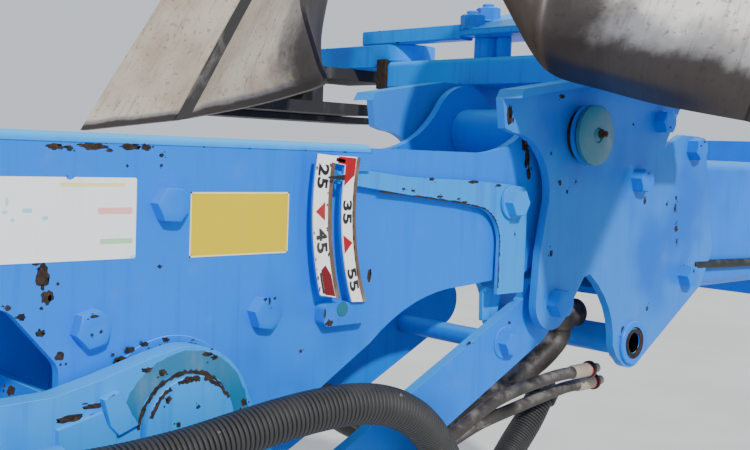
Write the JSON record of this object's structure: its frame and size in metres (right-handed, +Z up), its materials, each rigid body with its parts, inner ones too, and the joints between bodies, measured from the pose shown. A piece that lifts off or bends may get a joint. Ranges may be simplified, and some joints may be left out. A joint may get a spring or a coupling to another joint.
{
  "type": "reversible moldboard plough front frame joint with its first pair of bodies",
  "caption": "Front frame joint of a reversible plough: arm, beam hinged on a pin, working-width scale with pointer, adjusting levers and rocker, body bracket and mirrored moldboards.",
  "frame": {"origin": "centre of the frame arm's front pivot bore", "axes": "X back along the arm and the beam, Y across the joint along the pins, Z up as it hangs in the picture"},
  "size_m": [1.787, 1.28, 0.938],
  "materials": {
    "blue_paint": "gloss",
    "scale_white": "gloss",
    "worn_steel": "worn",
    "rusty_iron": "rusty",
    "black_rubber": "matte",
    "dusty_rubber": "matte",
    "coupler_steel": "matte"
  },
  "bodies": {
    "arm": {"arm_plate_near": "blue_paint", "arm_plate_far": "blue_paint", "arm_cover": "blue_paint", "arm_webs": "blue_paint", "pivot_tube": "blue_paint", "main_sleeve": "blue_paint", "rocker_tube": "blue_paint", "scale_plate": "blue_paint", "scale_strips": "scale_white", "pointer_pin": "blue_paint", "hose_bracket": "blue_paint", "hose_clamp": "blue_paint", "hose_sleeve": "black_rubber", "sleeve_boot": "black_rubber", "hose_upper": "dusty_rubber", "hose_lower": "dusty_rubber", "hose_thick": "black_rubber", "hose_inner": "black_rubber", "hose_couplers": "coupler_steel", "hose_elbow": "black_rubber"},
    "pointer": {"pointer": "blue_paint"},
    "rocker": {"rocker_near": "blue_paint", "rocker_far": "blue_paint", "rocker_pin": "blue_paint", "rocker_shaft": "blue_paint"},
    "levers": {"lever_near": "blue_paint", "lever_far": "blue_paint", "lever_tube": "blue_paint"},
    "beam": {"side_plate_near": "blue_paint", "side_plate_far": "blue_paint", "main_pin": "blue_paint", "lever_pins": "blue_paint", "eye_bush": "blue_paint", "main_beam": "blue_paint", "beam_flange": "blue_paint", "bracket_bar": "blue_paint", "bar_ends": "rusty_iron", "bracket_cap": "blue_paint", "bracket_spacers": "blue_paint", "bracket_links": "blue_paint", "leg_near": "blue_paint", "leg_far": "blue_paint", "frog_near": "rusty_iron", "frog_far": "rusty_iron", "board_near": "worn_steel", "board_far": "worn_steel", "share_near": "worn_steel", "share_far": "worn_steel", "landside_near": "worn_steel", "landside_far": "worn_steel"}
  },
  "joints": [
    {"name": "beam_swing", "type": "hinge", "parent": "arm", "child": "beam", "pos_m": [0.985, 0, 0.195], "axis": [0, -1, 0], "range_deg": [0, 16]},
    {"name": "pointer_turn", "type": "hinge", "parent": "arm", "child": "pointer", "pos_m": [0.855, -0.107, 0.102], "axis": [0, -1, 0], "range_deg": [0, 24.1]},
    {"name": "rocker_turn", "type": "hinge", "parent": "arm", "child": "rocker", "pos_m": [0.345, 0, -0.11], "axis": [0, -1, 0], "range_deg": [0, 16.5]},
    {"name": "lever_turn", "type": "hinge", "parent": "beam", "child": "levers", "pos_m": [0.937, 0, -0.033], "axis": [0, -1, 0], "range_deg": [-22, 0]}
  ],
  "couplings": [
    {"joint": "pointer_turn", "follows": "beam_swing", "ratio": 1.5},
    {"joint": "rocker_turn", "follows": "beam_swing", "ratio": 1.0136},
    {"joint": "lever_turn", "follows": "beam_swing", "ratio": -1.3589}
  ]
}
